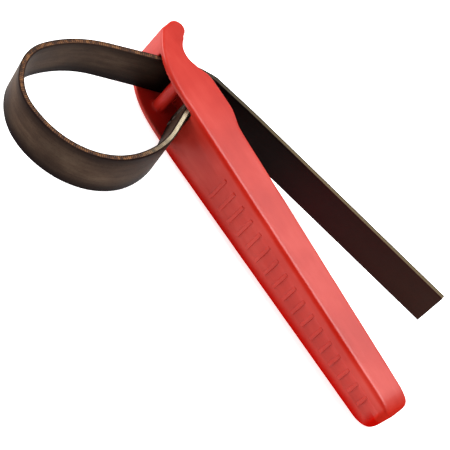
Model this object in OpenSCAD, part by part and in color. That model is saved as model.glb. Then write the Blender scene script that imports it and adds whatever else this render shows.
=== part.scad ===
// Strap wrench: a moulded handle with a forked head, and a flat strap that makes a loop in front of the head,
// passes through the head behind its crossbar and leaves at the back as a free tail.
//
// Frame, in millimetres: the wrench lies on its side. The origin is on the side face that it lies on, level
// with the crossbar. +X runs along the handle to its butt, -Y is the front, where the loop is, and +Z is up,
// across the strap's width and along the crossbar and the anchor pin.

/* [Handle] */
// Length of the handle from the horn's top to the butt
handle_length = 178; // [160:1:240]
// Distance from the crossbar's axis to the horn's top
head_reach = 24.2; // [24:0.1:30]
// How far the grip's front lies from the handle's middle plane, where it leaves the head
grip_front = 7.8; // [7.5:0.1:10]
// How far the grip's back lies from that plane
grip_back = 9.5; // [8:0.1:10.5]
// How far the butt's front lies from that plane
butt_front = 7.2; // [5.5:0.1:9]
// How far the butt's back lies from that plane
butt_back = 6.1; // [5.5:0.1:8]
// Width of the butt across the strap's direction
butt_width = 17.7; // [16:0.1:25]
// Thickness of each cheek beside the strap
cheek = 2.4; // [2:0.1:3.5]
// Diameter of the crossbar between the cheeks
bar_d = 5.8; // [5:0.1:6.4]
// How far the crossbar stands behind the handle's middle plane
bar_back = 1; // [0.5:0.1:1.5]
// Radius of the horn's rounded top
horn_r = 4; // [3.6:0.1:4.3]
// Height of the shoulder that carries the anchor, above the handle's middle plane
shoulder_y = 12.1; // [11.5:0.1:14]

/* [Grip panels] */
// Depth of the shallow panel in the front and the back of the grip
panel_depth = 0.5; // [0.4:0.1:1.5]
// Width of the border left round each panel
panel_border = 1.5; // [1:0.1:3]
// Number of grip bars in each panel
grip_bars = 17; // [5:1:20]
// Width of one grip bar
grip_bar_w = 1.6; // [1:0.1:2.5]
// Height that a grip bar stands above the panel's floor
grip_bar_h = 0.3; // [0.2:0.1:0.4]

/* [Strap] */
// Width of the strap
strap_w = 19; // [16:0.5:25]
// Thickness of the strap
strap_t = 2.5; // [2:0.1:2.6]
// Clearance between each edge of the strap and its cheek
edge_gap = 1; // [0.3:0.1:1.4]
// Clearance between the strap's outer face and the wall of the slot that it runs through
slot_gap = 0.4; // [0.3:0.1:0.6]
// Free space between the crossbar and the strap that passes over it
bar_gap = 3.3; // [2:0.1:3.6]
// Slope of the strap where it passes through the head, against the handle
head_slope = 56; // [54:0.5:60]

/* [Loop] */
// Distance from the crossbar's axis to the middle of the strap at the loop's far side
loop_reach = 74; // [66:1:110]
// Distance from the crossbar's axis to the middle of the strap on the loop's butt side
loop_side = 25; // [24:0.5:28]
// Radius of the loop's far side towards the butt
loop_r_butt = 34.4; // [32:0.2:36]
// Radius of the loop's far side towards the horn
loop_r_horn = 23.2; // [22:0.2:25]
// Slope of the anchored leg against the handle
leg_slope = 60; // [58:0.5:61]

/* [Tail] */
// Length of the straight tail behind the head
tail_length = 125; // [70:1:180]
// Angle between the tail and the handle
tail_angle = 17; // [14:0.5:30]
// Radius of the strap's bend where it leaves the head
bend_r = 9; // [8:0.2:10]
// Where that bend begins, behind the crossbar's axis along the strap
bend_start = 12.3; // [11.8:0.1:13.5]
// Length of the tail that stretches and shortens as the strap is pulled through
exit_run = 42; // [38:1:50]

/* [Anchor] */
// Distance from the crossbar's axis to the anchor pin's axis, along the handle
pin_x = 10.9; // [10.9:0.1:12]
// Distance of the anchor pin's axis behind the handle's middle plane
pin_y = 3.6; // [3:0.1:4]
// Diameter of the anchor pin
pin_d = 4; // [3:0.1:4]
// Radial clearance of the pin in the strap's eye
eye_fit = 0.05; // [0.03:0.01:0.1]
// Radial clearance of the pin in its seats in the cheeks
seat_fit = 0.02; // [0.01:0.01:0.05]
// Depth of the pin's blind seat in the upper cheek
seat_depth = 1.4; // [1:0.1:1.8]
// Length of strap folded back and sewn down in front of the pin
fold = 7; // [5:0.1:7.4]
// Number of stitches that hold the fold
stitches = 4; // [2:1:5]
// Diameter of the sewing thread
thread_d = 0.8; // [0.5:0.1:1]

/* [Hidden] */
$fn = 48;
cut = 0.1;             // how far a cutter runs past the face that it opens
red = "firebrick";
dark = "#3a2f29";

head_w = strap_w + 2 * (edge_gap + cheek);
mid_z = head_w / 2;
butt_x = handle_length - head_reach;
taper_x = 20;          // where the grip's taper starts
butt_corner = 5;       // rounding of the butt's corners
bar_r = bar_d / 2;
pin_r = pin_d / 2;
strap_z = mid_z - strap_w / 2;
bar_at = [0, bar_back];
pin_at = [pin_x, pin_y];

function along(angle) = [cos(angle), sin(angle)];
function left_of(angle) = [-sin(angle), cos(angle)];
function arc(at, r, from, to, steps) = [for (i = [0:steps]) at + r * along(from + (to - from) * i / steps)];
function mixed(a, b, share) = a + (b - a) * share;

// The strap's straight stretches: the head run slopes back over the crossbar, and the anchored leg runs out
// from beside the pin. Each is a point on the strap's middle surface and a direction.
head_dir = along(head_slope);
head_side = left_of(head_slope);
head_at = bar_at + (bar_r + bar_gap + strap_t / 2) * head_side;
leg_dir = along(-leg_slope);
leg_side = along(90 - leg_slope);
eye_r = pin_r + eye_fit + strap_t;
leg_at = pin_at - (eye_r - strap_t / 2) * leg_side;

// The loop is four tangent arcs between the two legs. The two outer radii are chosen, and those beside the
// legs follow from where the legs lie.
butt_arc_at = [loop_side - loop_r_butt, bar_back - loop_reach + loop_r_butt];
horn_arc_at = [butt_arc_at[0], butt_arc_at[1] - loop_r_butt + loop_r_horn];
horn_side = horn_arc_at[0] - loop_r_horn;
leg_r = ((leg_at - [loop_side, butt_arc_at[1]]) * leg_side) / (1 - leg_side[0]);
leg_arc_at = [loop_side - leg_r, butt_arc_at[1]];
run_r = ((head_at - [horn_side, horn_arc_at[1]]) * head_side) / (1 + head_side[0]);
run_arc_at = [horn_side + run_r, horn_arc_at[1]];

// The strap bends over the shoulder round this centre, where the tail's hinge axis is.
bend_from = head_at + bend_start * head_dir;
bend_at = bend_from - bend_r * head_side;
tail_dir = along(tail_angle);
tail_at = bend_at + bend_r * left_of(tail_angle);

leg_out = 12.4;        // where the anchored leg leaves the head, from beside the pin
run_in = -14;          // where the running leg enters the head, along the head run
bend_step = 4;         // largest angle between two places on a curved stretch

// Outline of the handle, seen along Z.
front_line = grip_front - 0.2;
front_rise = 11.8;     // how far the head's front falls back at the horn, and over what length
front_run = 37;
horn_at = [horn_r - head_reach, shoulder_y - 0.7];
saddle_r = 8.6;        // hollow in the back between the horn and the shoulder
saddle_at = horn_at + [12.7, 4.75];
shoulder_from = 2.4;
shoulder_to = 18;
grip_from = 30;        // where the back runs straight on to the butt
bars_from = 38;        // where the grip bars begin

// How far the grip's front, side -1, or back, side 1, lies from the handle's middle plane.
function grip_face(x, side) =
    let (share = (x - taper_x) / (butt_x - taper_x))
    side < 0 ? mixed(grip_front, butt_front, share) : mixed(grip_back, butt_back, share);
function head_front(x) = -front_line + front_rise * pow((taper_x - 5 - x) / front_run, 3);
function back_blend(x) = (1 + cos(180 * (x - shoulder_to) / (grip_from - shoulder_to))) / 2;
function back_of(x) = mixed(grip_face(x, 1), shoulder_y, back_blend(x));

outline = concat(
    [for (x = [butt_x - butt_corner - 4, taper_x]) [x, -grip_face(x, -1)]],
    [for (x = [12, 4, -4, -9, -13, -17, -20, -22.5]) [x, head_front(x)]],
    arc(horn_at, horn_r, 205, 20, 12),
    arc(saddle_at, saddle_r, 213, 295, 8),
    [[shoulder_from, shoulder_y - 0.6], [shoulder_from + 3, shoulder_y]],
    [for (x = [shoulder_to:3:grip_from]) [x, back_of(x)]],
    arc([butt_x - butt_corner, butt_back - butt_corner], butt_corner, 80, 0, 6),
    arc([butt_x - butt_corner, butt_corner - butt_front], butt_corner, 0, -80, 6));

// Outline of the handle, seen from the front: straight at the head, tapering to the rounded butt.
butt_low = mid_z - butt_width / 2;
butt_top = mid_z + butt_width / 2;
plan = concat(
    [[-head_reach - 1, 0], [taper_x, 0]],
    arc([butt_x - butt_corner, butt_low + butt_corner], butt_corner, -90, 0, 6),
    arc([butt_x - butt_corner, butt_top - butt_corner], butt_corner, 0, 90, 6),
    [[taper_x, head_w], [-head_reach - 1, head_w]]);

// The window between the cheeks: the strap's slot, and the pocket that holds the anchored eye.
slot_wall = head_at + (strap_t / 2 + slot_gap) * head_side;
pocket_gap = 0.5;
pocket_back = pin_y + eye_r + pocket_gap;
pocket_end = pin_x + eye_r + pocket_gap;
nose_x = 1.4;          // end of the wall behind the pocket
nose_r = (shoulder_y - pocket_back) / 2;
nose_y = shoulder_y - nose_r - 0.4;
lip_at = leg_at + (strap_t / 2 + slot_gap) * leg_side;
lip_x = lip_at[0] + (lip_at[1] + front_line) / tan(leg_slope);
outside = 12;          // past the head's front and back faces
window = [slot_wall - 20 * head_dir, slot_wall + outside * head_dir, [nose_x, outside + 4],
          [nose_x, pocket_back], [pocket_end, pocket_back], [pocket_end, -3], [lip_x, -4.5],
          [lip_x, -outside]];

// A cutter across the window, from cheek to cheek.
module between_cheeks() {
    translate([0, 0, cheek]) linear_extrude(head_w - 2 * cheek) children();
}

// A shape seen from the front, cut right through from front to back.
module front_to_back() {
    deep = 60;
    translate([0, deep / 2, 0]) rotate([90, 0, 0]) linear_extrude(deep) children();
}

// Shallow panel in one face of the grip, with its grip bars left standing. side is -1 in front, 1 behind.
module panel(side, from) {
    to = butt_x - butt_corner;
    narrow = (head_w - butt_width) / 2 / (butt_x - taper_x);
    low_from = narrow * (from - taper_x) + panel_border;
    low_to = narrow * (to - taper_x) + panel_border;
    pitch = (to - bars_from) / (grip_bars + 1);
    bar_end = 4.5;     // space between a grip bar's end and the border
    intersection() {
        linear_extrude(head_w) polygon([
            [from, side * (grip_face(from, side) - panel_depth)],
            [to, side * (grip_face(to, side) - panel_depth)],
            [to, side * outside], [from, side * outside]]);
        front_to_back() polygon([
            [from, low_from], [to, low_to], [to, head_w - low_to], [from, head_w - low_from]]);
        difference() {
            past_faces(from, to);
            for (i = [1:grip_bars]) {
                x = bars_from + i * pitch;
                low = narrow * (x - taper_x) + panel_border + bar_end;
                top = grip_face(x, side) - panel_depth + grip_bar_h;
                translate([x - grip_bar_w / 2, side < 0 ? -top : 0, low])
                    cube([grip_bar_w, top, head_w - 2 * low]);
            }
        }
    }
}

module past_faces(from, to) {
    translate([from - cut, -outside - cut, -cut])
        cube([to - from + 2 * cut, 2 * outside + 2 * cut, head_w + 2 * cut]);
}

module handle() {
    color(red) difference() {
        union() {
            difference() {
                intersection() {
                    linear_extrude(head_w) polygon(outline);
                    front_to_back() polygon(plan);
                }
                between_cheeks() polygon(window);
            }
            translate([nose_x, nose_y, cheek / 2]) cylinder(h = head_w - cheek, r = nose_r);
            translate([bar_at[0], bar_at[1], cheek / 2]) cylinder(h = head_w - cheek, r = bar_r);
        }
        translate([pin_x, pin_y, -cut])
            cylinder(h = head_w - cheek + seat_depth + cut, r = pin_r + seat_fit);
        panel(-1, taper_x + panel_border);
        panel(1, bars_from + panel_border);
    }
}

// Steel dowel, driven in from the lower side through the strap's eye into the blind seat.
module anchor_pin() {
    recess = 0.2;
    color("silver") translate([pin_x, pin_y, recess])
        cylinder(h = head_w - cheek + seat_depth - 2 * recess, r = pin_r);
}

// A stretch of strap along a route. Each place on the route is a point on the strap's middle surface and the
// direction across its thickness there, towards its outer face.
module band(route) {
    faces = concat([for (place = route) place[0] + strap_t / 2 * place[1]],
                   [for (i = [len(route) - 1:-1:0]) route[i][0] - strap_t / 2 * route[i][1]]);
    translate([0, 0, strap_z]) linear_extrude(strap_w) polygon(faces);
}

function bent(at, r, from, to) =
    let (steps = ceil(abs(to - from) / bend_step))
    [for (i = [0:steps]) let (out = along(from + (to - from) * i / steps)) [at + r * out, out]];
function plain(at, side, dir, places) = [for (place = places) [at + place * dir, side]];

// The strap's fixed end: folded round the pin and back on itself.
module strap_eye() {
    fold_at = leg_at + fold * leg_dir + strap_t / 2 * leg_side;
    color(dark) difference() {
        union() {
            translate([0, 0, strap_z]) linear_extrude(strap_w) hull() {
                translate(pin_at) circle(r = eye_r);
                translate(fold_at) rotate(-leg_slope) translate([-cut, -strap_t]) square([cut, 2 * strap_t]);
            }
            band(plain(leg_at, leg_side, leg_dir, [0, leg_out]));
        }
        translate([pin_x, pin_y, strap_z - cut]) cylinder(h = strap_w + 2 * cut, r = pin_r + eye_fit);
    }
}

// Lock stitches through both plies of the fold, each a closed ring of thread.
module eye_thread() {
    pitch = strap_w / (stitches + 0.6);
    length = pitch * 0.55;
    seam = leg_at + (fold - 1.6) * leg_dir + strap_t / 2 * leg_side;
    first = strap_z + (strap_w - pitch * (stitches - 1) - length) / 2;
    r = thread_d / 2;
    color("tan") for (i = [0:stitches - 1])
        translate([seam[0], seam[1], first + i * pitch]) rotate([0, 0, -leg_slope]) {
            for (y = [-strap_t, strap_t]) translate([0, y, -r]) cylinder(h = length + 2 * r, r = r);
            for (z = [0, length]) translate([0, strap_t + r, z]) rotate([90, 0, 0])
                cylinder(h = 2 * (strap_t + r), r = r);
        }
}

// The leg between the anchored eye and the loop's far side.
module strap_anchored_leg() {
    color(dark) band(concat(plain(leg_at, leg_side, leg_dir, [leg_out]),
                            bent(leg_arc_at, leg_r, 90 - leg_slope, 0)));
}

// The loop's far side.
module strap_bight() {
    color(dark) band(concat(bent(butt_arc_at, loop_r_butt, 0, -90),
                            bent(horn_arc_at, loop_r_horn, 270, 180)));
}

// The leg between the loop's far side and the head.
module strap_running_leg() {
    color(dark) band(concat(bent(run_arc_at, run_r, 180, 90 + head_slope),
                            plain(head_at, head_side, head_dir, [run_in])));
}

// The stretch inside the head, between the horn's slot wall and the crossbar.
module strap_head_run() {
    color(dark) band(plain(head_at, head_side, head_dir, [run_in, bend_start]));
}

// The bend over the shoulder.
module strap_exit_bend() {
    color(dark) band(bent(bend_at, bend_r, 90 + head_slope, 90 + tail_angle));
}

// The tail's first stretch, and the free end that is pulled.
module strap_exit_run() {
    color(dark) band(plain(tail_at, left_of(tail_angle), tail_dir, [0, exit_run]));
}

module strap_free_end() {
    color(dark) band(plain(tail_at, left_of(tail_angle), tail_dir, [exit_run, tail_length]));
}

handle();
anchor_pin();
strap_eye();
eye_thread();
strap_anchored_leg();
strap_bight();
strap_running_leg();
strap_head_run();
strap_exit_bend();
strap_exit_run();
strap_free_end();
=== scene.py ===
# Strap wrench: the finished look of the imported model, in metres and in the model's own frame.
# +X runs along the handle to its butt, -Y is the side of the loop, +Z is across the strap's width.
import bpy
import bmesh
import math
from mathutils import Matrix, Vector, noise


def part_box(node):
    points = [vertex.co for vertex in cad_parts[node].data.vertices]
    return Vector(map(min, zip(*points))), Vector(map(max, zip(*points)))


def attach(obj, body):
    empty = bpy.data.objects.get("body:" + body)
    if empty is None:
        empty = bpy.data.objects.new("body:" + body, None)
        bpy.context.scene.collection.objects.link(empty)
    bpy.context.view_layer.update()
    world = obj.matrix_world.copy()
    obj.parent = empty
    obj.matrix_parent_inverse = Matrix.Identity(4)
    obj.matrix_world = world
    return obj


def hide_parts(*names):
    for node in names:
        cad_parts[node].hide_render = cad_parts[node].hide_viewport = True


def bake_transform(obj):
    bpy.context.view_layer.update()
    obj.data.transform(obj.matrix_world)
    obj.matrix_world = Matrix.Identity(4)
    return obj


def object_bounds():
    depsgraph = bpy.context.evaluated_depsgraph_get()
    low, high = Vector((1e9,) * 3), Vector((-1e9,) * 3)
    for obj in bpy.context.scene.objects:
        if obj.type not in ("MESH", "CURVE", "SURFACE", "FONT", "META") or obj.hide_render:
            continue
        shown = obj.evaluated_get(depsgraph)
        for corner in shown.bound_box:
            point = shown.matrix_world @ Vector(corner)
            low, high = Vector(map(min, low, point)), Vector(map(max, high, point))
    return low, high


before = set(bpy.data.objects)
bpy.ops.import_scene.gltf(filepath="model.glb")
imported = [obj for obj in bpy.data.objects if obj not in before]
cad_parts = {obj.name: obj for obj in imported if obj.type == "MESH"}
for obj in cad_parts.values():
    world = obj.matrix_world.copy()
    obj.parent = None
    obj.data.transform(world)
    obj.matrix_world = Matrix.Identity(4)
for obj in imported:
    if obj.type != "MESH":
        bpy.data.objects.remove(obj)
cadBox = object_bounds()
mm = 0.001
print("frame loaded:", len(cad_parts), "nodes")


def direction(angle):
    return Vector((math.cos(math.radians(angle)), math.sin(math.radians(angle))))


def leftOf(angle):
    return direction(angle + 90)


def blendBetween(a, b, share):
    return a + (b - a) * share


def eased(share):
    share = min(max(share, 0), 1)
    return share * share * (3 - 2 * share)


def arcPoints(centre, radius, fromAngle, toAngle, steps):
    angles = [blendBetween(fromAngle, toAngle, i / steps) for i in range(steps + 1)]
    return [centre + radius * direction(angle) for angle in angles]


def newPiece(name, bm):
    mesh = bpy.data.meshes.new(name)
    bm.to_mesh(mesh)
    bm.free()
    piece = bpy.data.objects.new(name, mesh)
    bpy.context.scene.collection.objects.link(piece)
    return piece


def frozen(piece):
    # the piece with its modifiers made real
    depsgraph = bpy.context.evaluated_depsgraph_get()
    mesh = bpy.data.meshes.new_from_object(piece.evaluated_get(depsgraph))
    piece.modifiers.clear()
    old = piece.data
    piece.data = mesh
    bpy.data.meshes.remove(old)


def centreZ(place):
    # a place in the strap's plane, in millimetres, as a point half way across the strap, in metres
    return (place.x * mm, place.y * mm, midZ * mm)


def cutFlat(bm, place, normal):
    # new edges where a plane crosses the mesh
    bmesh.ops.bisect_plane(bm, geom=bm.verts[:] + bm.edges[:] + bm.faces[:], plane_co=place, plane_no=normal)


def rounded(bm, edges, radius, segments, clamp=False):
    return bmesh.ops.bevel(bm, geom=edges, offset=radius, offset_type="OFFSET", segments=segments,
                           profile=0.5, affect="EDGES", clamp_overlap=clamp, material=-1)


def smoothed(piece, sharpAngle=50):
    piece.data.shade_smooth()
    piece.data.set_sharp_from_angle(angle=math.radians(sharpAngle))
    return piece


def prism(outline, low, high):
    # a closed outline in millimetres raised from low to high along Z
    bm = bmesh.new()
    floor = bm.faces.new([bm.verts.new((p.x * mm, p.y * mm, low * mm)) for p in outline])
    raised = bmesh.ops.extrude_face_region(bm, geom=[floor])
    top = [v for v in raised["geom"] if isinstance(v, bmesh.types.BMVert)]
    bmesh.ops.translate(bm, vec=(0, 0, (high - low) * mm), verts=top)
    bmesh.ops.recalc_face_normals(bm, faces=bm.faces)
    return bm


class Flow:
    # a number in a node tree that takes plain arithmetic

    def __init__(self, tree, socket):
        self.tree = tree
        self.socket = socket

    def maths(self, operation, first, second=None):
        node = self.tree.nodes.new("ShaderNodeMath")
        node.operation = operation
        for i, value in enumerate((first, second)):
            if isinstance(value, Flow):
                self.tree.links.new(value.socket, node.inputs[i])
            elif value is not None:
                node.inputs[i].default_value = value
        return Flow(self.tree, node.outputs[0])

    def __add__(self, other):
        return self.maths("ADD", self, other)

    def __radd__(self, other):
        return self.maths("ADD", other, self)

    def __sub__(self, other):
        return self.maths("SUBTRACT", self, other)

    def __rsub__(self, other):
        return self.maths("SUBTRACT", other, self)

    def __mul__(self, other):
        return self.maths("MULTIPLY", self, other)

    def __rmul__(self, other):
        return self.maths("MULTIPLY", other, self)

    def sine(self):
        return self.maths("SINE", self)

    def size(self):
        return self.maths("ABSOLUTE", self)


class Finish:
    # a procedural material: one shader, and one way to add any other node

    def __init__(self, name, **constants):
        self.material = bpy.data.materials.new(name)
        self.material.use_nodes = True
        self.tree = self.material.node_tree
        self.shader = self.tree.nodes["Principled BSDF"]
        for socket, value in constants.items():
            self.shader.inputs[socket.replace("_", " ")].default_value = value

    def add(self, kind, settings=None, inputs=None, out=0):
        node = self.tree.nodes.new(kind)
        for key, value in (settings or {}).items():
            if key == "stops":
                ramp = node.color_ramp
                while len(ramp.elements) < len(value):
                    ramp.elements.new(0.5)
                for element, (place, shade) in zip(ramp.elements, value):
                    element.position = place
                    element.color = (*shade, 1)
            else:
                setattr(node, key, value)
        for key, value in (inputs or {}).items():
            if isinstance(value, Flow):
                self.tree.links.new(value.socket, node.inputs[key])
            else:
                node.inputs[key].default_value = value
        return Flow(self.tree, node.outputs[out])

    def feed(self, **links):
        for socket, flow in links.items():
            self.tree.links.new(flow.socket, self.shader.inputs[socket.replace("_", " ")])
        return self

    def speckle(self, place, scale, detail=2, roughness=0.5, out="Fac"):
        return self.add("ShaderNodeTexNoise", None,
                        {"Vector": place, "Scale": scale, "Detail": detail, "Roughness": roughness}, out)

    def mapped(self, place, scale):
        return self.add("ShaderNodeMapping", None, {"Vector": place, "Scale": scale})

    def ramp(self, factor, stops):
        return self.add("ShaderNodeValToRGB", {"stops": stops}, {"Fac": factor})

    def mixed(self, factor, first, second):
        return self.add("ShaderNodeMix", {"data_type": "RGBA"}, {0: factor, 6: first, 7: second}, 2)

    def span(self, factor, low, high, fromLow=0.0, fromHigh=1.0):
        ends = {"Value": factor, "From Min": fromLow, "From Max": fromHigh, "To Min": low, "To Max": high}
        return self.add("ShaderNodeMapRange", None, ends)

    def bumped(self, height, strength, distance):
        relief = {"Height": height, "Strength": strength, "Distance": distance * mm}
        return self.add("ShaderNodeBump", None, relief)

    def attribute(self, name, out="Fac"):
        return self.add("ShaderNodeAttribute", {"attribute_name": name}, None, out)

    def stretch(self, along, start, end):
        # 0 before start and 1 after end, both in millimetres
        return self.span(along, 0, 1, start * mm, end * mm)

    def part(self, vector, axis):
        return self.add("ShaderNodeSeparateXYZ", None, {"Vector": vector}, axis)

    def ownPlace(self):
        return self.add("ShaderNodeTexCoord", None, None, "Object")


def colour(r, g, b):
    return (r, g, b, 1)


def redPlasticFinish():
    look = {"red": (0.40, 0.021, 0.012), "paler": (0.45, 0.036, 0.024), "deeper": (0.35, 0.014, 0.007),
            "rim": (0.38, 0.003, 0.001), "scuffed": (0.55, 0.09, 0.07), "inside": (0.60, 0.020, 0.012),
            "scuffShare": 0.08, "scuffRough": 0.06, "bump": 0.5, "bumpDepth": 0.08}
    finish = Finish("mouldedRedPlastic", IOR=1.5, Specular_IOR_Level=0.0, Coat_Roughness=0.32, Coat_IOR=1.5)
    place = finish.ownPlace()
    rim = finish.attribute("rimShare")
    polish = finish.attribute("polish")
    inside = finish.attribute("insideHead")
    clouds = finish.speckle(place, 45, 3)
    spark = finish.speckle(place, 1500, 2, 0.6)
    swirl = finish.speckle(finish.mapped(place, (40, 160, 160)), 1.4, 4, 0.6)
    scuff = finish.ramp(finish.speckle(finish.mapped(place, (120, 700, 500)), 1, 3, 0.7),
                        [(0.62, (0, 0, 0)), (0.74, (1, 1, 1))])
    body = finish.ramp(clouds * 0.7 + swirl * 0.3,
                       [(0.35, look["deeper"]), (0.5, look["red"]), (0.65, look["paler"])])
    wearAndSlotLight = finish.mixed(scuff * look["scuffShare"], body, colour(*look["scuffed"]))
    # painted light: a brighter red between the cheeks inside the head
    wearAndSlotLight = finish.mixed(inside, wearAndSlotLight, colour(*look["inside"]))
    # painted shade: the rim colour laid over the rims round the panels
    finish.feed(Base_Color=finish.mixed(rim, wearAndSlotLight, colour(*look["rim"])),
                Coat_Weight=polish,
                Roughness=finish.span(clouds, 0.40, 0.50) + scuff * look["scuffRough"],
                Normal=finish.bumped(spark * 0.7 + clouds * 0.3, look["bump"], look["bumpDepth"]))
    return finish.material


def strapCoverFinish(marks):
    # brown on the loop with patches, with painted shade darkening it towards both edges and most towards the
    # lower edge; black through the head and into the tail is painted shade from the handle, easing to dark
    # red-brown down the tail
    look = {"dark": (0.036, 0.020, 0.013), "brown": (0.059, 0.035, 0.023), "pale": (0.086, 0.056, 0.037),
            "patch": (0.010, 0.004, 0.003), "edge": (0.006, 0.002, 0.002), "bottomShadeTone": (0.005, 0.002, 0.002),
            "pore": (0.008, 0.003, 0.002), "black": (0.0015, 0.0003, 0.0003),
            "shadowFading": (0.004, 0.0005, 0.0005), "wine": (0.022, 0.003, 0.003), "tip": (0.024, 0.008, 0.005),
            "patchShare": 0.55, "poreShare": 0.25, "tailShare": 0.96, "bump": 0.30, "bumpDepth": 0.10}
    finish = Finish("strapCover", IOR=1.5, Specular_IOR_Level=0.025)
    flat = finish.attribute("flatPlace", "Vector")
    mottle = finish.speckle(finish.mapped(flat, (90, 90, 150)), 1, 5, 0.62)
    grain = finish.speckle(finish.mapped(flat, (1500, 1500, 2200)), 1, 2, 0.5)
    pores = finish.add("ShaderNodeTexVoronoi", {"feature": "F1"}, {"Vector": flat, "Scale": 1100}, "Distance")
    streaks = finish.speckle(finish.mapped(flat, (45, 300, 900)), 1, 3, 0.6)
    along = finish.part(flat, "X")
    across = finish.part(flat, "Z")
    patches = finish.speckle(finish.mapped(flat, (28, 60, 60)), 1, 2, 0.5)
    # painted shade from the handle: black from inside the head into the tail, easing to dark red-brown down the
    # tail
    tail = finish.stretch(along, marks["darkFrom"], marks["darkAt"])
    handleShadeTone = finish.ramp(finish.stretch(along, marks["tail"], marks["end"]),
                       [(0.1, look["black"]), (0.3, look["shadowFading"]), (0.5, look["wine"]), (1.0, look["tip"])])
    body = finish.ramp(mottle * 0.65 + streaks * 0.35,
                       [(0.32, look["dark"]), (0.5, look["brown"]), (0.68, look["pale"])])
    stains = finish.span(patches, 0, look["patchShare"], 0.40, 0.62)
    body = finish.mixed(stains, body, colour(*look["patch"]))
    # painted shade: darker towards both edges of each face, broken up by the patches
    edges = finish.span(across.size(), 0, 0.8, 5.5 * mm, 9.3 * mm) * (patches * 0.8 + 0.5)
    body = finish.mixed(edges, body, colour(*look["edge"]))
    # painted shade: darker still towards the strap's lower edge
    bottomShadeShare = finish.span(across * -1, 0, 0.95, 2 * mm, 8.8 * mm) * (patches * 0.5 + 0.75)
    body = finish.mixed(bottomShadeShare, body, colour(*look["bottomShadeTone"]))
    body = finish.mixed(tail * look["tailShare"], body, handleShadeTone)
    pitted = finish.span(pores, look["poreShare"], 0, 0.0, 0.4)
    relief = grain * 0.5 + pores * 0.5 + streaks * 0.4
    finish.feed(Base_Color=finish.mixed(pitted, body, colour(*look["pore"])),
                Roughness=finish.span(mottle * 0.6 + grain * 0.4, 0.40, 0.60, 0.3, 0.7),
                Normal=finish.bumped(relief, look["bump"], look["bumpDepth"]))
    return finish.material


def strapCoreFinish(marks):
    # the cut edge: ends of the core's cords between the two covers, rust brown on the loop, tan by the head
    # and olive down the tail
    look = {"rust": [(0.38, (0.010, 0.003, 0.001)), (0.5, (0.060, 0.019, 0.004)),
                     (0.64, (0.20, 0.085, 0.026))],
            "tan": [(0.2, (0.16, 0.12, 0.07)), (0.5, (0.42, 0.35, 0.23)), (0.85, (0.62, 0.55, 0.42))],
            "olive": (0.018, 0.013, 0.006), "straw": (0.26, 0.18, 0.08), "strawShare": 0.32,
            "cordPitch": 0.9, "cordWander": 5, "bump": 0.6, "bumpDepth": 0.25}
    finish = Finish("strapCutEdge", Roughness=0.8, IOR=1.4)
    flat = finish.attribute("flatPlace", "Vector")
    along = finish.part(flat, "X")
    loopShare = finish.stretch(along, marks["tanUntil"], marks["rustFrom"]) \
        - finish.stretch(along, marks["rustUntil"], marks["bend"])
    tailShare = finish.stretch(along, marks["bend"], marks["strawAt"])
    legShare = finish.span(along, 1, 0, marks["tanUntil"] * mm, marks["rustFrom"] * mm)
    wander = finish.speckle(finish.mapped(flat, (500, 900, 900)), 1, 3, 0.6)
    turns = along * (2 * math.pi / (look["cordPitch"] * mm)) + wander * look["cordWander"]
    cords = turns.sine() * 0.5 + 0.5
    fibre = finish.speckle(finish.mapped(flat, (480, 600, 600)), 1, 4, 0.65)
    rust = finish.ramp(cords * 0.15 + fibre * 0.85, look["rust"])
    tan = finish.ramp(cords * 0.25 + fibre * 0.75, look["tan"])
    olive = finish.mixed(tailShare * look["strawShare"], colour(*look["olive"]), colour(*look["straw"]))
    tan = finish.mixed(legShare, olive, tan)
    finish.feed(Base_Color=finish.mixed(loopShare, tan, rust),
                Normal=finish.bumped(cords * 0.6 + fibre * 0.4, look["bump"], look["bumpDepth"]))
    return finish.material


def threadFinish():
    finish = Finish("brownThread", Roughness=0.7)
    place = finish.ownPlace()
    twist = finish.add("ShaderNodeTexWave", {"bands_direction": "DIAGONAL"},
                       {"Vector": place, "Scale": 700, "Distortion": 1.5, "Detail": 2}, "Fac")
    finish.feed(Base_Color=finish.ramp(twist, [(0.1, (0.02, 0.012, 0.008)), (0.7, (0.07, 0.045, 0.03))]),
                Normal=finish.bumped(twist, 0.5, 0.12))
    return finish.material


def steelFinish():
    finish = Finish("groundSteel", Metallic=1.0, Roughness=0.3)
    place = finish.ownPlace()
    lathe = finish.speckle(finish.mapped(place, (900, 900, 90)), 1, 3, 0.6)
    finish.feed(Base_Color=finish.ramp(lathe, [(0.3, (0.42, 0.42, 0.43)), (0.7, (0.62, 0.62, 0.62))]),
                Roughness=finish.span(lathe, 0.22, 0.4), Normal=finish.bumped(lathe, 0.2, 0.04))
    return finish.material


handleShape = {
    "gripFront": 7.8, "gripBack": 9.5, "buttFront": 7.2, "buttBack": 6.1, "buttWidth": 17.7, "buttCorner": 2.6,
    "endReach": 1.5, "endRound": 9, "endShare": (0.8, 0.4), "taperFrom": 20, "taperEase": 8, "gripFrom": 30,
    "barsFrom": 38, "headFront": 7.6, "frontRise": 11.8, "frontRun": 37, "frontFrom": 15, "hornRadius": 4,
    "hornDrop": 0.7, "saddleRadius": 8.6, "saddleReach": (12.7, 4.75), "shoulder": 12.1, "shoulderFrom": 2.4,
    "shoulderTo": 18, "noseX": 1.4, "noseDrop": 0.4, "cheek": 2.4, "seatFit": 0.02, "rim": 1.1, "voxel": 0.45,
    "settle": 4, "softEdges": 0.5, "shoulderRise": ((-2.6, 2.2), (0, 0.6), (3, 0), (9.1, 0)),
    "frontPlaces": (15, 12, 8, 4, 0, -4, -7, -10, -13, -15, -17, -19, -21, -22.6), "buttPlaces": 9,
    "loops": (12, 14, 16, 18, 20, 22, 24, 26, 28, 60, 100, 140, 145, 146, 147, 148, 149, 150, 151, 152, 152.8,
              153.6, 154.2, 154.7, 155.1),
}
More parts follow.
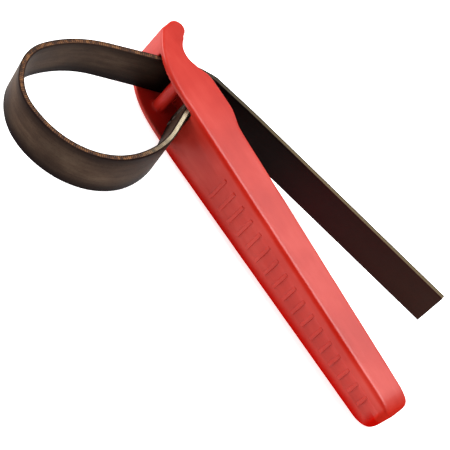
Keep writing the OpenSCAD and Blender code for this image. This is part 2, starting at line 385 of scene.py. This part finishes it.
handleLow, handleHigh = (Vector(corner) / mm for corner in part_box("handle"))
headWidth = handleHigh.z - handleLow.z
buttEnd = handleHigh.x + handleShape["endReach"]
midZ = headWidth / 2
shoulderY = handleShape["shoulder"]
strapShape = {
    "thick": 2.5, "width": 19, "barRadius": 2.9, "barGap": 3.3, "barBack": 1, "headSlope": 56, "legSlope": 60,
    "loopReach": 74, "loopSide": 25, "buttRadius": 34.4, "hornRadius": 23.2, "bendRadius": 9, "bendStart": 12.3,
    "tailAngle": 17, "tailLength": 125, "pin": (10.9, 3.6), "pinRadius": 2, "eyeFit": 0.05, "fold": 7,
    "slotGap": 0.4, "station": 0.5, "cover": 0.52, "roundOff": 0.3, "coreDip": 0.1, "coreLip": 0.12,
    "fray": 0.09, "lengthCuts": (-9, -6, -3, 0, 3, 6, 9), "blendFrom": -7.5, "blendTo": -61.5,
}


def taperShare(x):
    # 0 where the grip's taper starts and 1 at the butt
    return (x - handleShape["taperFrom"]) / (buttEnd - handleShape["taperFrom"])


def gripFace(x, side):
    # how far the grip's front (side -1) or back (side 1) lies from the handle's middle plane
    h = handleShape
    if side < 0:
        return blendBetween(h["gripFront"], h["buttFront"], taperShare(x))
    return blendBetween(h["gripBack"], h["buttBack"], taperShare(x))


def handleOutline():
    # seen along Z, from the butt along the front to the horn and back over the shoulder
    h = handleShape
    horn = Vector((h["hornRadius"] + handleLow.x, shoulderY - h["hornDrop"]))
    saddle = horn + Vector(h["saddleReach"])
    corner = h["buttCorner"]
    lastPlace = int(buttEnd - h["buttPlaces"])

    def frontOf(x):
        return -h["headFront"] + h["frontRise"] * ((h["frontFrom"] - x) / h["frontRun"]) ** 3

    def backOf(x):
        turn = math.pi * (x - h["shoulderTo"]) / (h["gripFrom"] - h["shoulderTo"])
        return blendBetween(gripFace(x, 1), shoulderY, (1 + math.cos(turn)) / 2)

    points = [Vector((x, -gripFace(x, -1))) for x in range(lastPlace, h["taperFrom"] - 1, -6)]
    points += [Vector((x, frontOf(x))) for x in h["frontPlaces"]]
    points += arcPoints(horn, h["hornRadius"], 205, 20, 16)
    points += arcPoints(saddle, h["saddleRadius"], 213, 295, 12)
    points += [Vector((h["shoulderFrom"] + along, shoulderY - down)) for along, down in h["shoulderRise"]]
    points += [Vector((x, backOf(x))) for x in range(h["shoulderTo"], h["gripFrom"], 2)]
    points += [Vector((x, gripFace(x, 1))) for x in range(h["gripFrom"] + 2, lastPlace, 6)]
    points += arcPoints(Vector((buttEnd - corner, h["buttBack"] - corner)), corner, 88, 0, 9)
    points += arcPoints(Vector((buttEnd - corner, corner - h["buttFront"])), corner, 0, -88, 9)
    return points


def handleBlank():
    # the outline raised, its rims rounded and its sides drawn in towards the butt
    h = handleShape
    bm = prism(handleOutline(), 0, headWidth)
    rims = [e for e in bm.edges if abs(e.verts[0].co.z - e.verts[1].co.z) < 1e-7]
    rounded(bm, rims, h["rim"] * mm, 4, True)
    for x in h["loops"]:
        cutFlat(bm, (x * mm, 0, 0), (1, 0, 0))
    corner = h["endRound"]
    soft = h["taperEase"]
    for v in bm.verts:
        x = v.co.x / mm
        past = x - h["taperFrom"]
        ease = max(past, 0) if abs(past) > soft else (past + soft) ** 2 / (4 * soft)
        width = blendBetween(headWidth, h["buttWidth"], ease / (buttEnd - h["taperFrom"]))
        # the butt's lower and upper corners, seen from the front
        turned = max(x - (buttEnd - corner), 0) / corner
        width -= 2 * corner * h["endShare"][v.co.z / mm > midZ] * (1 - math.sqrt(max(1 - turned ** 2, 0)))
        v.co.z = (midZ + (v.co.z / mm - midZ) * width / headWidth) * mm
    bmesh.ops.triangulate(bm, faces=bm.faces[:])
    return newPiece("handleShell", bm)


def cutWith(piece, cutter, operation="DIFFERENCE"):
    step = piece.modifiers.new("cut", "BOOLEAN")
    step.operation = operation
    step.solver = "EXACT"
    step.object = cutter
    frozen(piece)
    bpy.data.objects.remove(cutter)


windowShape = {"below": 20, "above": 12, "top": 16, "eyeRoom": 0.5, "pocketFront": -3, "lipFront": -4.5,
               "front": -12}


def pocketReach():
    # from the anchor pin's axis to the wall of the pocket round the eye
    return strapShape["pinRadius"] + strapShape["eyeFit"] + strapShape["thick"] + windowShape["eyeRoom"]


def windowCutter():
    # the strap's slot through the head, with the pocket for the anchored eye, between the cheeks
    s = strapShape
    w = windowShape
    side = leftOf(s["headSlope"])
    run = direction(s["headSlope"])
    wall = strapPlaces["headAt"] + (s["thick"] / 2 + s["slotGap"]) * side
    pin = Vector(s["pin"])
    eye = pocketReach()
    legOut = leftOf(-s["legSlope"])
    lip = strapPlaces["legAt"] + (s["thick"] / 2 + s["slotGap"]) * legOut
    lipX = lip.x + (lip.y + handleShape["headFront"]) / math.tan(math.radians(s["legSlope"]))
    noseX = handleShape["noseX"]
    outline = [wall - w["below"] * run, wall + w["above"] * run, Vector((noseX, w["top"])),
               Vector((noseX, pin.y + eye)), Vector((pin.x + eye, pin.y + eye)),
               Vector((pin.x + eye, w["pocketFront"])), Vector((lipX, w["lipFront"])),
               Vector((lipX, w["front"]))]
    return newPiece("windowCutter", prism(outline, handleShape["cheek"], headWidth - handleShape["cheek"]))


def roller(centre, radius, low, high, name):
    bm = bmesh.new()
    middle = (low + high) / 2
    bmesh.ops.create_cone(bm, cap_ends=True, segments=48, radius1=radius * mm, radius2=radius * mm,
                          depth=(high - low) * mm,
                          matrix=Matrix.Translation((centre[0] * mm, centre[1] * mm, middle * mm)))
    return newPiece(name, bm)


panelShape = {"depth": 0.6, "headDepth": 0.05, "border": 1.5, "stop": 2.6, "corner": 6.4, "bars": 17,
              "barsStop": 2, "barWidth": 1.7, "barHeight": 0.5, "barSunk": 0.4, "barEnd": 4.2, "barSoft": 0.36}
panelEnd = buttEnd - panelShape["stop"]


def panelEdge(x):
    # lowest edge of the panel at x: the grip's side, drawn in, and the border
    return (headWidth - handleShape["buttWidth"]) / 2 * taperShare(x) + panelShape["border"]


def panelDeep(x):
    # the panel runs out towards the head and is deepest at the butt
    return blendBetween(panelShape["headDepth"], panelShape["depth"], taperShare(x))


def panelCutter(side, start):
    bm = bmesh.new()
    bmesh.ops.create_cube(bm, size=1)
    for v in bm.verts:
        x = start if v.co.x < 0 else panelEnd
        low = panelEdge(x)
        v.co.z = (low if v.co.z < 0 else headWidth - low) * mm
        inner = gripFace(x, side) - panelDeep(x)
        v.co.y = side * (inner if v.co.y * side < 0 else 2 * handleShape["gripBack"]) * mm
        v.co.x = x * mm
    upright = [e for e in bm.edges if abs(e.verts[0].co.y - e.verts[1].co.y) > mm]
    rounded(bm, upright, panelShape["corner"] * mm, 6)
    bmesh.ops.recalc_face_normals(bm, faces=bm.faces)
    return newPiece("panelCutter", bm)


def addGripBars(bm):
    p = panelShape
    pitch = (panelEnd - p["barsStop"] - handleShape["barsFrom"]) / (p["bars"] + 1)
    tall = p["barHeight"] + p["barSunk"]
    for side in (-1, 1):
        for i in range(1, p["bars"] + 1):
            x = handleShape["barsFrom"] + i * pitch
            low = panelEdge(x) + p["barEnd"]
            made = bmesh.ops.create_cube(bm, size=1)["verts"]
            bmesh.ops.scale(bm, vec=(p["barWidth"] * mm, tall * mm, (headWidth - 2 * low) * mm), verts=made)
            edges = list({e for v in made for e in v.link_edges})
            whole = {v for f in rounded(bm, edges, p["barSoft"] * mm, 4)["faces"] for v in f.verts}
            y = side * (gripFace(x, side) - panelDeep(x) + p["barHeight"] - tall / 2)
            bmesh.ops.translate(bm, vec=(x * mm, y * mm, midZ * mm), verts=list(whole))


# how far in the painted rim shade (a deeper red) reaches, where the sides are polished, and where the painted
# light inside the head begins
shadeShape = {"upperReach": 1.9, "lowerReach": 4.8, "upperShare": 0.25, "rimFrom": 8, "rimRun": 14,
              "dull": 0.38, "headPolish": 0.12, "gripPolish": 0.40, "polishFrom": -20, "polishRun": 65,
              "insideFrom": -11, "insideTo": 16.5}


def markShades(bm):
    # the rim share is painted shade, 1 on the rims round the panels; polish is the gloss; the inside-head share
    # is painted light, 1 between the cheeks
    m = shadeShape
    keep = bm.verts.layers.float.new("rimShare")
    polish = bm.verts.layers.float.new("polish")
    inside = bm.verts.layers.float.new("insideHead")
    bm.normal_update()
    for v in bm.verts:
        x, y, z = v.co / mm
        upper = z > midZ
        facing = abs(v.normal.z)
        outside = max(abs(z - midZ) - (headWidth / 2 - panelEdge(x)), x - panelEnd)
        reach = m["upperReach"] if upper else m["lowerReach"]
        share = eased((outside + reach - 0.3) / reach) * (1 - eased((facing - 0.7) / 0.25))
        share *= eased((x - m["rimFrom"]) / m["rimRun"])
        onSide = eased((facing - 0.84) / 0.14)
        gloss = blendBetween(m["headPolish"], m["gripPolish"], eased((x - m["polishFrom"]) / m["polishRun"]))
        # painted shade on the panel rims: in full on the lower rim, a quarter of it on the upper
        v[keep] = share * (m["upperShare"] if upper else 1)
        v[polish] = (1 - share) * (m["dull"] + onSide * gloss)
        # painted light: between the cheeks and in from the head's front and back faces
        between = eased((headWidth / 2 - handleShape["cheek"] + 0.5 - abs(z - midZ)) / 0.5)
        deep = min(y + gripFace(x, -1) - 0.6, shoulderY + 1 - y)
        between *= eased((m["insideTo"] - x) / 2) * eased((x - m["insideFrom"]) / 3)
        v[inside] = between * eased(deep / 2)


def makeHandle(finish):
    h = handleShape
    shell = handleBlank()
    cutWith(shell, windowCutter())
    cutWith(shell, panelCutter(-1, h["taperFrom"] + panelShape["border"]))
    cutWith(shell, panelCutter(1, h["barsFrom"] + panelShape["border"]))
    pin = strapShape["pin"]
    cutWith(shell, roller(pin, strapShape["pinRadius"] + h["seatFit"], -1, h["cheek"] + 0.1, "pinHole"))
    # the crossbar and the nose behind it run from the middle of one cheek to the middle of the other
    low, high = h["cheek"] / 2, headWidth - h["cheek"] / 2
    bar = (0, strapShape["barBack"])
    cutWith(shell, roller(bar, strapShape["barRadius"], low, high, "crossbar"), "UNION")
    noseRadius = (shoulderY - pin[1] - pocketReach()) / 2
    nose = (h["noseX"], shoulderY - noseRadius - h["noseDrop"])
    cutWith(shell, roller(nose, noseRadius, low, high, "nose"), "UNION")
    remesh = shell.modifiers.new("evenSkin", "REMESH")
    remesh.mode = "VOXEL"
    remesh.voxel_size = h["voxel"] * mm
    settle = shell.modifiers.new("softEdges", "SMOOTH")
    settle.factor = h["softEdges"]
    settle.iterations = h["settle"]
    frozen(shell)
    bm = bmesh.new()
    bm.from_mesh(shell.data)
    addGripBars(bm)
    markShades(bm)
    bm.to_mesh(shell.data)
    bm.free()
    smoothed(shell)
    shell.data.materials.clear()
    shell.data.materials.append(finish)
    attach(shell, "handle")
    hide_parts("handle")
    print("handle:", len(shell.data.polygons), "faces")


class Route:
    # the strap's middle line seen along Z: straight runs and bends, each tangent to the last, in millimetres

    def __init__(self, start, heading):
        self.moves = []
        self.place = Vector(start)
        self.heading = heading
        self.length = 0

    def straight(self, length):
        self.moves.append((self.length, length, self.place.copy(), self.heading, None, 0))
        self.place = self.place + length * direction(self.heading)
        self.length += length
        return self

    def bend(self, radius, turn):
        # turn is in degrees, positive to the left
        length = radius * math.radians(abs(turn))
        side = 1 if turn > 0 else -1
        centre = self.place + side * radius * leftOf(self.heading)
        self.moves.append((self.length, length, self.place.copy(), self.heading, centre, side * radius))
        self.heading += turn
        self.place = centre - side * radius * leftOf(self.heading)
        self.length += length
        return self

    def at(self, s):
        move = next((m for m in self.moves if s <= m[0] + m[1]), self.moves[-1])
        begin, _, place, heading, centre, radius = move
        if centre is None:
            return place + (s - begin) * direction(heading), heading
        heading += math.degrees((s - begin) / radius)
        return centre - radius * leftOf(heading), heading


def findPlaces():
    # where the strap's straight runs lie: across the crossbar, and from beside the anchor pin
    s = strapShape
    places = {"bar": Vector((0, s["barBack"])), "pin": Vector(s["pin"])}
    overBar = s["barRadius"] + s["barGap"] + s["thick"] / 2
    places["headAt"] = places["bar"] + overBar * leftOf(s["headSlope"])
    places["eyeRadius"] = s["pinRadius"] + s["eyeFit"] + s["thick"] / 2
    places["legAt"] = places["pin"] - places["eyeRadius"] * leftOf(-s["legSlope"])
    return places


def strapRoute():
    s = strapShape
    p = strapPlaces
    legAngle = -s["legSlope"]
    legDir, legSide = direction(legAngle), leftOf(legAngle)
    headDir, headSide = direction(s["headSlope"]), leftOf(s["headSlope"])
    buttArc = Vector((s["loopSide"] - s["buttRadius"], s["barBack"] - s["loopReach"] + s["buttRadius"]))
    hornArcY = buttArc.y - s["buttRadius"] + s["hornRadius"]
    hornSide = buttArc.x - s["hornRadius"]
    legRadius = (p["legAt"] - Vector((s["loopSide"], buttArc.y))).dot(legSide) / (1 - legSide.x)
    runRadius = (p["headAt"] - Vector((hornSide, hornArcY))).dot(headSide) / (1 + headSide.x)
    legEnd = Vector((s["loopSide"] - legRadius, buttArc.y)) + legRadius * legSide
    runEnd = Vector((hornSide + runRadius, hornArcY)) + runRadius * headSide
    # the folded end, in the leg's own directions: back along the leg, round the pin and out as the leg
    foldEnd = Vector((s["fold"], s["thick"] - p["eyeRadius"]))
    apart = foldEnd.length
    touch = math.degrees(math.atan2(foldEnd.y, foldEnd.x) + math.acos(p["eyeRadius"] / apart))
    start = p["pin"] + foldEnd.x * legDir + foldEnd.y * legSide
    route = Route(start, legAngle + touch + 90)
    marks = {}
    route.straight(math.sqrt(apart ** 2 - p["eyeRadius"] ** 2)).bend(p["eyeRadius"], 270 - touch)
    marks["leg"] = route.length
    route.straight((legEnd - p["legAt"]).dot(legDir)).bend(legRadius, -(90 - s["legSlope"]))
    marks["front"] = route.length
    route.bend(s["buttRadius"], -90)
    marks["far"] = route.length
    route.bend(s["hornRadius"], -90)
    marks["side"] = route.length
    route.bend(runRadius, -(90 - s["headSlope"]))
    marks["run"] = route.length
    route.straight((p["headAt"] - runEnd).dot(headDir))
    marks["head"] = route.length
    route.straight(s["bendStart"])
    marks["bend"] = route.length
    route.bend(s["bendRadius"], s["tailAngle"] - s["headSlope"])
    marks["tail"] = route.length
    route.straight(s["tailLength"])
    marks["end"] = route.length
    return route, marks


strapPlaces = findPlaces()
route, marks = strapRoute()
# where the core edge's colours change, and where the painted shade from the handle starts and becomes full
marks.update(tanUntil=marks["leg"] + 22, rustFrom=marks["leg"] + 50, rustUntil=marks["head"] + 4,
             darkFrom=marks["head"] - 20, darkAt=marks["head"] - 1, strawAt=marks["bend"] + 45)
# how far the strap's lower and upper edges stand off its middle line, in X and Y, at places along it
leans = [(0, 0, 0, 0, 0), (marks["leg"] + 2, 0, 0, 0, 0), (marks["front"] + 8, 0.6, 0.4, -2.2, -0.35),
         (marks["far"] - 8, 0.6, 0.4, -2.2, -0.35), (marks["far"] + 18, 1.0, 1.5, -0.1, -1.0),
         (marks["run"] - 22, 1.4, 0.8, 0.2, -1.9), (marks["head"] - 6, 0, 0, 0, 0),
         (marks["bend"] - 6, 0, 0, 0, 0),
         (marks["bend"] + 3, 0.5, -0.9, 0.6, -1.7), (marks["tail"] + 22, 0, 0, 0.1, -1.25),
         (marks["end"], 0, -0.1, 0.1, -1.5)]


def leanAt(s, share):
    # share is 0 at the lower edge and 1 at the upper one
    for (s0, *first), (s1, *second) in zip(leans, leans[1:]):
        if s <= s1:
            now = [blendBetween(a, b, eased((s - s0) / (s1 - s0))) for a, b in zip(first, second)]
            return blendBetween(Vector(now[:2]), Vector(now[2:]), share)
    return Vector((0, 0))


def flatStrap(start, end):
    # a straight length of strap: along X, its thickness along Y and its width along Z
    s = strapShape
    bm = bmesh.new()
    bmesh.ops.create_cube(bm, size=1)
    bmesh.ops.scale(bm, vec=(end - start, s["thick"], s["width"]), verts=bm.verts)
    bmesh.ops.translate(bm, vec=((start + end) / 2, 0, 0), verts=bm.verts)
    corners = [e for e in bm.edges if abs(e.verts[0].co.x - e.verts[1].co.x) > 0.5 * (end - start)]
    rounded(bm, corners, s["roundOff"], 3)
    coreHalf = s["thick"] / 2 - s["cover"]
    for y in (-coreHalf, s["coreLip"] - coreHalf, 0, coreHalf - s["coreLip"], coreHalf):
        cutFlat(bm, (0, y, 0), (0, 1, 0))
    for z in s["lengthCuts"]:
        cutFlat(bm, (0, 0, z), (0, 0, 1))
    lengthwise = [e for e in bm.edges if abs(e.verts[0].co.x - e.verts[1].co.x) > 0.5 * (end - start)]
    stations = max(int((end - start) / s["station"]), 2)
    bmesh.ops.subdivide_edges(bm, edges=lengthwise, cuts=stations - 1, use_grid_fill=False)
    return bm


def layAlong(bm):
    # the flat strap's core edge frayed, its flat places kept, and every point laid along the route
    s = strapShape
    keep = bm.verts.layers.float_vector.new("flatPlace")
    core = s["thick"] / 2 - s["cover"] - 0.06
    for v in bm.verts:
        along, across, wide = v.co
        v[keep] = Vector((along, across, wide)) * mm
        if abs(wide) > s["width"] / 2 - 0.05 and abs(across) < core:
            rough = noise.noise(Vector((along * 1.9, across * 2.5, wide)))
            ridge = math.sin(along * 2 * math.pi / 1.1 + 2.5 * noise.noise(Vector((along * 0.5, 7, wide))))
            wide -= math.copysign(s["coreDip"] - s["fray"] * (0.6 * ridge + 0.9 * rough), wide)
        place, heading = route.at(along)
        lean = leanAt(along, wide / s["width"] + 0.5)
        place = place + across * leftOf(heading) + lean
        v.co = Vector((place.x, place.y, midZ + wide)) * mm


def makeStrapPiece(name, start, end, cover, core):
    s = strapShape
    bm = flatStrap(start, end)
    bm.faces.ensure_lookup_table()
    for f in bm.faces:
        middle = f.calc_center_median()
        onEdge = abs(middle.z) > s["width"] / 2 - 0.02 or abs(f.normal.x) > 0.9
        f.material_index = 1 if onEdge and abs(middle.y) < s["thick"] / 2 - s["cover"] else 0
    layAlong(bm)
    bmesh.ops.recalc_face_normals(bm, faces=bm.faces)
    piece = smoothed(newPiece(name, bm), 60)
    piece.data.materials.append(cover)
    piece.data.materials.append(core)
    print(name + ":", len(piece.data.polygons), "faces")
    return piece


def makeStrap(cover, core):
    headSeam = marks["head"] + 1
    tailSeam = marks["tail"] + 3

    def placeAt(along):
        return centreZ(route.at(along)[0])

    loop = makeStrapPiece("strapLoop", 0, headSeam, cover, core)
    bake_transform(loop)
    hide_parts("strap_eye", "strap_anchored_leg", "strap_bight", "strap_running_leg", "strap_head_run")
    bend = makeStrapPiece("strapBend", headSeam, tailSeam, cover, core)
    placeAt(marks["bend"])
    placeAt(marks["tail"] + 0.2)
    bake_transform(bend)
    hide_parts("strap_exit_bend")
    tail = makeStrapPiece("strapTail", tailSeam, marks["end"], cover, core)
    placeAt(marks["tail"] + 4)
    placeAt(marks["tail"] + 62)
    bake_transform(tail)
    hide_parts("strap_exit_run", "strap_free_end")


stitchShape = {"count": 4, "radius": 0.42, "fromFold": 1.6, "rowEnds": 0.6, "seen": 0.55, "proud": 0.1,
               "slant": 0.12}


def makeStitches(finish):
    # a row of stitches through the fold, on both of its faces
    s = strapShape
    t = stitchShape
    legDir, legSide = direction(-s["legSlope"]), leftOf(-s["legSlope"])
    seam = strapPlaces["legAt"] + (s["fold"] - t["fromFold"]) * legDir + s["thick"] / 2 * legSide
    pitch = s["width"] / (t["count"] + t["rowEnds"])
    length = pitch * t["seen"] + 2 * t["radius"]
    first = midZ - pitch * (t["count"] - 1) / 2
    bm = bmesh.new()
    for i in range(t["count"]):
        for side in (-1, 1):
            place = seam + side * (s["thick"] + t["proud"]) * legSide
            at = Matrix.Translation((place.x * mm, place.y * mm, (first + i * pitch) * mm))
            slant = Matrix.Rotation(t["slant"] * side, 4, "X")
            grain = slant @ Matrix.Diagonal((1, 1, length / 2 / t["radius"], 1))
            bmesh.ops.create_uvsphere(bm, u_segments=16, v_segments=12, radius=t["radius"] * mm,
                                      matrix=at @ grain)
    piece = smoothed(newPiece("eyeStitches", bm), 80)
    piece.data.materials.append(finish)
    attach(piece, "handle")
    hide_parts("eye_thread")


def makeFloor():
    bm = bmesh.new()
    bmesh.ops.create_grid(bm, x_segments=2, y_segments=2, size=3)
    bmesh.ops.translate(bm, vec=(0, 0, cadBox[0][2] - 0.0002), verts=bm.verts)
    floor = newPiece("studioFloor", bm)
    finish = Finish("paleFloor", Roughness=0.9, Base_Color=colour(0.92, 0.92, 0.92), Specular_IOR_Level=0.1,
                    Emission_Color=colour(1, 1, 1), Emission_Strength=0.72)
    floor.data.materials.append(finish.material)


def softLight(name, place, aim, width, power):
    light = bpy.data.lights.new(name, "AREA")
    light.shape = "SQUARE"
    light.size = width
    light.energy = power
    lamp = bpy.data.objects.new(name, light)
    lamp.location = place
    lamp.rotation_euler = (Vector(aim) - Vector(place)).to_track_quat("-Z", "Y").to_euler()
    bpy.context.scene.collection.objects.link(lamp)


def makeLights():
    aim = (0.05, 0, 0.012)
    softLight("topBox", (0.08, 0.25, 0.9), aim, 0.7, 11.5)
    softLight("hornBox", (-0.9, -0.3, 0.2), aim, 0.5, 12)
    softLight("buttBox", (0.8, 0.1, 0.45), aim, 0.5, 0.9)
    softLight("glossBox", (0.1, 0.42, 0.42), (0.1, 0, 0.012), 0.3, 0.6)
    world = bpy.data.worlds.new("studio")
    world.use_nodes = True
    backdrop = world.node_tree.nodes["Background"]
    backdrop.inputs["Color"].default_value = colour(1, 1, 1)
    backdrop.inputs["Strength"].default_value = 0.35
    bpy.context.scene.world = world


def makeCamera():
    view = {"place": (0.22145, -0.61680, 0.63237), "turn": (35.288, -30.2589, 50.5871), "lens": 181.19}
    camera = bpy.data.cameras.new("mainCamera")
    camera.lens = view["lens"]
    camera.sensor_width = 36
    camera.clip_end = 20
    shot = bpy.data.objects.new("mainCamera", camera)
    shot.location = view["place"]
    shot.rotation_euler = [math.radians(a) for a in view["turn"]]
    bpy.context.scene.collection.objects.link(shot)
    bpy.context.scene.camera = shot


bpy.context.scene.view_settings.view_transform = "Standard"
redPlastic = redPlasticFinish()
strapCover = strapCoverFinish(marks)
strapCore = strapCoreFinish(marks)
makeHandle(redPlastic)
makeStrap(strapCover, strapCore)
makeStitches(threadFinish())
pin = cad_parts["anchor_pin"]
pin.data.materials.clear()
pin.data.materials.append(steelFinish())
makeFloor()
makeLights()
makeCamera()
print("scene made")
